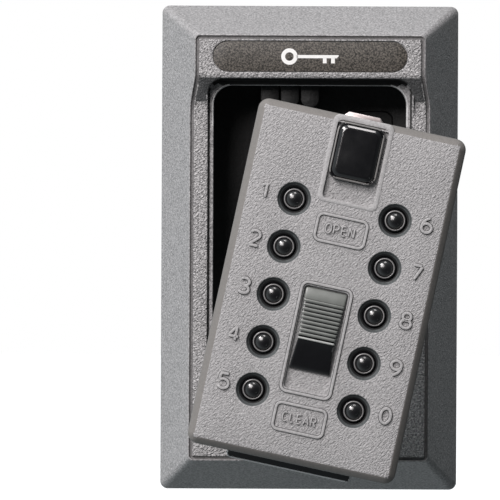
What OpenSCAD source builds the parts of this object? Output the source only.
// Push-button key lock box: a wall-mounted die-cast vault and its lift-off cover.
// X is to the right, +Y goes into the wall, +Z is up; the origin is the centre of the back face.
// Cover parts are drawn where they lie when the box is shut, and on_cover() hangs them in front of it.

/* [Vault] */
// Width of the vault at the wall
base_w = 98; // [96:1:110]
// Height of the vault at the wall
base_h = 160; // [158:1:180]
// How far the name plate block stands off the wall
block_y = 44; // [43:0.5:46]
// How far the ledge around the opening stands off the wall
ledge_y = 38; // [37.5:0.5:39]
// Width of the block's front face
block_w = 73; // [70:0.2:76]
// Height of the block's top edge
block_top = 67.3; // [65:0.1:72]
// Height of the ledge's bottom edge, below the centre
ledge_bottom = 66; // [64:0.2:70]
// Thickness of the vault's back wall
back_wall = 4; // [3:0.5:5]
// Width of the key cavity behind the lip
cavity_w = 66; // [64:1:67]
// Height of the key cavity behind the lip
cavity_h = 113; // [112:0.5:114]
// Radius of the four wall screw holes
wall_hole_r = 2.6; // [2:0.1:3]
// Distance between the wall screw holes, across
wall_hole_x = 30; // [26:1:34]
// Distance between the wall screw holes, up and down
wall_hole_z = 76; // [60:1:80]

/* [Cover] */
// Width of the cover
cover_w = 63.5; // [63:0.1:64]
// Height of the cover
cover_h = 105.5; // [105:0.1:106]
// Corner and front edge radius of the cover
cover_r = 3; // [2:0.5:3.5]
// Height of the cover's front above the wall when it is shut
cover_y = 46; // [45.5:0.5:47]
// How far the loose cover is turned from upright
cover_turn = 12; // [0:1:20]
// Where the loose cover hangs, measured from its shut place
cover_shift = [5.3, -50, -13];

/* [Buttons] */
// Distance of each button column from the middle
column_x = 15.4; // [15:0.1:16]
// Height of the top row
row_top = 24.9; // [24:0.1:25]
// Distance between rows
row_pitch = 14.55; // [14.5:0.05:14.6]
// Radius of a button's head
button_r = 3.6; // [3:0.1:3.7]
// Clearance between a moving round part and its hole
fit_gap = 0.05; // [0.03:0.01:0.08]
// Travel of a button
press = 2; // [1.5:0.1:2]

/* [Slides] */
// Travel of the OPEN slide
open_travel = 6; // [5:0.5:6]
// Travel of the CLEAR slide
clear_travel = 5.5; // [5:0.5:5.5]
// Thickness of the slide plates and the latch bolt
plate_t = 1.2; // [1:0.1:1.2]

/* [Hidden] */
$fn = 48;
digits = ["1", "2", "3", "4", "5", "6", "7", "8", "9", "0"];

cast_grey = [0.62, 0.61, 0.60];
plastic_black = [0.05, 0.05, 0.05];
steel = [0.72, 0.72, 0.73];
eps = 0.01;

// Vault levels, as distances off the wall.
rabbet_w = cover_w + 1.5;
rabbet_h = cover_h + 1.5;
rabbet_floor = ledge_y - 1.6;
lip_w = rabbet_w - 3.5;
lip_h = rabbet_h - 3.5;
lip_back = ledge_y - 3.8;
shoulder_top = 54.3;
shoulder_bottom = 45.9;
rib_pitch = 6.45;

// Cover levels, as distances off the wall when it is shut.
skirt_back = rabbet_floor + 0.2;
front_inside = cover_y - 2.6;
housing_back = 31.7;
housing_w = 54;
housing_h = 96;
housing_wall = 2;
gate_front = 40.2;
clear_front = 38.2;
tongue_front = 33.6;
latch_front = 33.1;
rivet_z = -41.5;
stem_r = 1.5;
slot_r = stem_r + 0.2;
shaft_r = 1.9;
recess_floor = cover_y - 1.2;
slider_back = recess_floor + 0.1;

function button_x(i) = i < 5 ? -column_x : column_x;
function button_z(i) = row_top - row_pitch * (i % 5);

// Flat shapes are drawn as x and z, and stand from one distance off the wall to another.
module stand(from, to) {
    translate([0, -from, 0]) rotate([90, 0, 0]) linear_extrude(to - from) children();
}

module rounded(w, h, r) {
    square([w - 2 * r, h], center = true);
    square([w, h - 2 * r], center = true);
    for (x = [-1, 1], z = [-1, 1]) translate([x * (w / 2 - r), z * (h / 2 - r)]) circle(r);
}

module rounded_at(x, z, w, h, r) {
    translate([x, z]) rounded(w, h, r);
}

module disc(x, z, r, from, to) {
    stand(from, to) translate([x, z]) circle(r);
}

module cone(x, z, r_low, r_high, from, to) {
    translate([x, -from, z]) rotate([90, 0, 0]) cylinder(h = to - from, r1 = r_low, r2 = r_high);
}

module block(x, z, w, h, from, to) {
    stand(from, to) translate([x, z]) square([w, h], center = true);
}

// A plate's slot for a stem: long enough for the plate's own travel.
module stem_slots(travel, from, to) {
    for (i = [0:9]) translate([button_x(i), 0, button_z(i)])
        stand(from, to) {
            translate([-slot_r, 0]) square([2 * slot_r, travel]);
            circle(slot_r);
            translate([0, travel]) circle(slot_r);
        }
}

module on_cover() {
    translate(cover_shift) rotate([0, cover_turn, 0]) children();
}

// ---- Vault ----

module vault_body() {
    color(cast_grey) difference() {
        hull() {
            stand(0, 2.5) rounded(base_w, base_h, 2.5, $fn = 32);
            stand(block_y - 0.1, block_y)
                rounded_at(0, (block_top - ledge_bottom) / 2, block_w, block_top + ledge_bottom, 1.6, $fn = 32);
        }
        // The ledge and its two sloping shoulders, cut below the block.
        translate([-base_w / 2, 0, 0]) rotate([90, 0, 90]) linear_extrude(base_w)
            polygon([[-ledge_y, -base_h], [-ledge_y, shoulder_bottom], [-block_y, shoulder_top],
                     [-block_y - 5, shoulder_top], [-block_y - 5, -base_h]]);
        stand(rabbet_floor, block_y + 5) rounded(rabbet_w, rabbet_h, 4.8);
        stand(lip_back - eps, block_y + 5) rounded(lip_w, lip_h, 6);
        key_cavity();
        stand(block_y - 0.7, block_y + 1) rounded_at(0, 60.5, 61.9, 9.9, 4.9);
        for (x = [-1, 1], z = [-1, 1]) wall_hole(x * wall_hole_x / 2, z * wall_hole_z / 2);
        for (x = [-1, 1]) disc(x * 9, 54.4, 1.0, lip_back - eps, lip_back + 2.2);
    }
}

// The cavity, less the three ribs that hang from its top, left of the latch.
module key_cavity() {
    difference() {
        stand(back_wall, lip_back) rounded(cavity_w, cavity_h, 3);
        for (i = [-2:0]) {
            block(i * rib_pitch, 52.6, 6, 9.2, back_wall - 1, 30.2);
            disc(i * rib_pitch, 48, 3, back_wall - 1, 30.2);
        }
    }
}

module wall_hole(x, z) {
    disc(x, z, wall_hole_r, -1, back_wall + 1);
}

module nameplate() {
    color([0.24, 0.22, 0.2]) stand(block_y - 0.7, block_y - 0.2) rounded_at(0, 60.5, 61.5, 9.5, 4.7);
}

// The hard strip behind the top lip that the latch bolt catches on.
module strike_plate() {
    color(steel) difference() {
        block(0, 54.3, 24, 4, lip_back - 0.8, lip_back);
        for (x = [-1, 1]) disc(x * 9, 54.4, 1.1, lip_back - 2, lip_back + 1);
    }
}

module strike_screws() {
    color(steel) for (x = [-1, 1]) difference() {
        union() {
            disc(x * 9, 54.4, 0.95, lip_back - 1, lip_back + 2);
            disc(x * 9, 54.4, 1.8, lip_back - 1.7, lip_back - 0.8);
        }
        block(x * 9, 54.4, 3, 0.5, lip_back - 2, lip_back - 1.3);
    }
}

// ---- Cover ----

module cover_shell() {
    color(cast_grey) difference() {
        union() {
            hull() for (x = [-1, 1], z = [-1, 1])
                translate([x * (cover_w / 2 - cover_r), 0, z * (cover_h / 2 - cover_r)]) {
                    translate([0, cover_r - cover_y, 0]) rotate([90, 0, 0]) sphere(cover_r, $fn = 32);
                    disc(0, 0, cover_r, skirt_back, cover_y - cover_r, $fn = 32);
                }
            stand(housing_back, skirt_back + 1) rounded(housing_w, housing_h, 3);
            // A flat pad frames the OPEN slide's recess and runs up over the rounded top edge.
            stand(cover_y - 3, cover_y + 0.2) rounded_at(0.3, 39.3, 18.4, 26.6, 2);
        }
        difference() {
            stand(housing_back - eps, front_inside)
                rounded(housing_w - 2 * housing_wall, housing_h - 2 * housing_wall, 2);
            cover_bosses();
        }
        for (x = [-1, 1], z = [-1, 1]) disc(x * 22.4, z * 43, 0.9, housing_back - 1, front_inside - 1);
        disc(0, rivet_z, stem_r + 0.5, tongue_front - 1, 36.5);
        button_holes();
        slider_recesses();
        // The ways out for the latch bolt and for the tongue.
        block(0, 47, 12.6, 5, housing_back - eps, latch_front + 0.3);
        block(0, -47, 16.4, 5, housing_back - eps, tongue_front);
    }
}

// What stands inside the shell: screw bosses, spring lugs and the shelf that the tongue is riveted to.
module cover_bosses() {
    for (x = [-1, 1], z = [-1, 1]) {
        disc(x * 22.4, z * 43, 2, housing_back, front_inside + 1);
        block(x * 24, z * 43, 3, 4, housing_back, front_inside + 1);
    }
    for (x = [-1, 1]) block(x * 8, 7.25, 3, 2.5, clear_front + 0.3, front_inside + 1);
    block(0, -31.75, 3, 2.5, 36.8, front_inside + 1);
    block(0, -42.5, 16, 9, tongue_front, 36.6);
}

module button_holes() {
    for (i = [0:9]) {
        disc(button_x(i), button_z(i), button_r + fit_gap, front_inside - 1, cover_y + 1);
        cone(button_x(i), button_z(i), button_r + fit_gap, 4.85, cover_y - 1, cover_y + eps);
    }
}

module slider_recesses() {
    stand(recess_floor, cover_y + 1) rounded_at(0.3, 39.05, 15.6, 23.9, 1.5);
    block(0, 40.3, 8.4, 11, front_inside - 1, recess_floor + 1);
    stand(recess_floor, cover_y + 1) rounded_at(0, -15, 13.4, 31.2, 1.2);
    block(0, -13.5, 5.4, 15.4, front_inside - 1, recess_floor + 1);
}

module back_plate() {
    color(steel) difference() {
        stand(housing_back - 1, housing_back) rounded(housing_w, housing_h, 3);
        for (i = [0:9]) disc(button_x(i), button_z(i), shaft_r + 0.1, housing_back - 2, housing_back + 1);
        for (x = [-1, 1], z = [-1, 1]) disc(x * 22.4, z * 43, 1.3, housing_back - 2, housing_back + 1);
    }
}

module back_plate_screws() {
    color(steel) for (x = [-1, 1], z = [-1, 1]) difference() {
        union() {
            disc(x * 22.4, z * 43, 0.9, housing_back - 1.2, housing_back + 5);
            disc(x * 22.4, z * 43, 2.2, housing_back - 1.9, housing_back - 1);
        }
        block(x * 22.4, z * 43, 3, 0.6, housing_back - 2, housing_back - 1.5);
        block(x * 22.4, z * 43, 0.6, 3, housing_back - 2, housing_back - 1.5);
    }
}

// The polished hook at the bottom edge that goes in behind the vault's lower lip.
module bottom_tongue() {
    color(steel) difference() {
        stand(tongue_front - plate_t, tongue_front) {
            rounded_at(0, -52.85, 38.4, 5.4, 1.2);
            translate([-8, -51]) square([16, 13]);
        }
        disc(0, rivet_z, stem_r + 0.5, tongue_front - 2, tongue_front + 1);
    }
}

module tongue_rivet() {
    color(steel) {
        disc(0, rivet_z, stem_r + 0.5 - fit_gap, tongue_front - plate_t - 0.2, 36.4);
        disc(0, rivet_z, 3.1, tongue_front - plate_t - 0.6, tongue_front - plate_t - 0.05);
    }
}

// ---- OPEN slide ----

module open_slider() {
    color(plastic_black) {
        stand(slider_back, cover_y + 1) rounded_at(0, 41.85, 14.5, 17.1, 2);
        stand(cover_y + 1 - eps, cover_y + 2) rounded_at(0, 41.85, 12.9, 15.5, 1.6);
        block(0, 43.3, 8, 4.6, gate_front, slider_back + 1);
    }
}

module gate_plate() {
    color(steel) difference() {
        stand(gate_front - plate_t, gate_front) translate([-20, -39.5]) square([40, 85.1]);
        stem_slots(open_travel, gate_front - 2, gate_front + 1);
        for (x = [-1, 1]) block(x * 8, 13, 4.2, 18, gate_front - 2, gate_front + 1);
        block(0, -17.5, 6.4, 37, gate_front - 2, gate_front + 1);
    }
}

module latch_bolt() {
    color(steel) {
        stand(latch_front - plate_t, latch_front)
            polygon([[-6, 34], [6, 34], [6, 53.3], [4.8, 54.5], [-4.8, 54.5], [-6, 53.3]]);
        block(0, 37, 12, 6, latch_front - eps, gate_front - plate_t);
    }
}

// A coil spring's space, as a sleeve between its two ends.
module upright_spring(x, y, z_low, z_high, r) {
    translate([x, -y, z_low]) difference() {
        cylinder(h = z_high - z_low, r = r);
        translate([0, 0, -1]) cylinder(h = z_high - z_low + 2, r = r - 0.4);
    }
}

module open_springs() {
    color(steel) for (x = [-1, 1]) upright_spring(x * 8, gate_front - plate_t / 2, 8.6, 21.9, 1.25);
}

// ---- CLEAR slide ----

// Side outline of the CLEAR slide as distance off the wall and height: a smooth ramp, a ribbed
// ramp, a ridge for the thumb and a steep face below it.
rib_count = 9;
rib_step = 1.25;
module clear_slider() {
    ribs = [for (i = [0:rib_count - 1], e = [0:1])
        [cover_y + 0.4 + 0.1 * i + 0.25 * e, -3.5 - rib_step * (i + 0.45 * e)]];
    outline = concat([[slider_back, 0.2], [cover_y - 0.6, 0.2]], ribs,
        [[cover_y + 1.4, -15.1], [cover_y + 1.4, -15.9], [cover_y - 0.5, -24.6], [slider_back, -24.6]]);
    color(plastic_black) {
        translate([-6.25, 0, 0]) rotate([90, 0, 90]) linear_extrude(12.5)
            polygon([for (p = outline) [-p[0], p[1]]]);
        block(0, -10, 5, 8, clear_front, slider_back + 0.5);
    }
}

module clear_plate() {
    color(steel) difference() {
        stand(clear_front - plate_t, clear_front) translate([-20, -37.5]) square([40, 69.5]);
        stem_slots(clear_travel, clear_front - 2, clear_front + 1);
        block(0, 31, 14, 10, clear_front - 2, clear_front + 1);
        block(0, -25.75, 4.2, 16.5, clear_front - 2, clear_front + 1);
    }
}

module clear_spring() {
    color(steel) upright_spring(0, clear_front - plate_t / 2, -30.4, -17.6, 1.5);
}

// ---- Buttons ----

// Outline of a button turned about its axis, as radius and distance off the wall: a flange that
// keeps it in, the head, a light-catching step and the dome.
flange_y = front_inside - 0.2;
module button(i) {
    dome_r = 2.5;
    dome_h = 1.5;
    dome_base = cover_y - 0.1;
    ball_r = (dome_r * dome_r + dome_h * dome_h) / (2 * dome_h);
    color(plastic_black) translate([button_x(i), 0, button_z(i)]) rotate([90, 0, 0]) difference() {
        union() {
            translate([0, 0, flange_y - 0.8]) cylinder(h = 0.8, r = button_r + 0.7);
            translate([0, 0, flange_y - eps]) cylinder(h = dome_base - 0.7 - flange_y, r = button_r);
            translate([0, 0, dome_base - 0.7 - 2 * eps]) cylinder(h = 0.7, r1 = button_r, r2 = 3.1);
            intersection() {
                translate([0, 0, dome_base + dome_h - ball_r]) sphere(ball_r);
                translate([0, 0, dome_base - 0.3]) cylinder(h = 3, r = dome_r);
            }
        }
        translate([0, 0, flange_y - 2]) cylinder(h = 3.8, r = 1);
    }
}

module button_spring(i) {
    color(steel) difference() {
        disc(button_x(i), button_z(i), 2.65, housing_back, 36.2);
        disc(button_x(i), button_z(i), 2.05, housing_back - 1, 37);
    }
}

// A stem that is cut half away where the gate plate meets a pressed button, so turning it half a
// turn in its button changes the code; its slotted end shows at the back plate.
module code_screw(i) {
    notch = gate_front + press - plate_t;
    color(steel) difference() {
        union() {
            disc(button_x(i), button_z(i), 1 - fit_gap, flange_y - 2, flange_y + 1.5);
            disc(button_x(i), button_z(i), stem_r, 36.8, flange_y - 0.9);
            disc(button_x(i), button_z(i), 2.6, 36.2, 36.8);
            disc(button_x(i), button_z(i), shaft_r, housing_back - 1.2, 36.2);
        }
        block(button_x(i), button_z(i) - stem_r, 2 * stem_r, 2 * stem_r, notch - 0.2, notch + plate_t - 0.2);
        block(button_x(i), button_z(i), 6, 0.7, housing_back - 2, housing_back - 0.6);
    }
}

vault_body();
nameplate();
strike_plate();
strike_screws();
on_cover() cover_shell();
on_cover() back_plate();
on_cover() back_plate_screws();
on_cover() tongue_rivet();
on_cover() bottom_tongue();
on_cover() open_slider();
on_cover() latch_bolt();
on_cover() gate_plate();
on_cover() open_springs();
on_cover() clear_slider();
on_cover() clear_plate();
on_cover() clear_spring();
for (i = [0:9]) {
    on_cover() button(i);
    on_cover() button_spring(i);
    on_cover() code_screw(i);
}
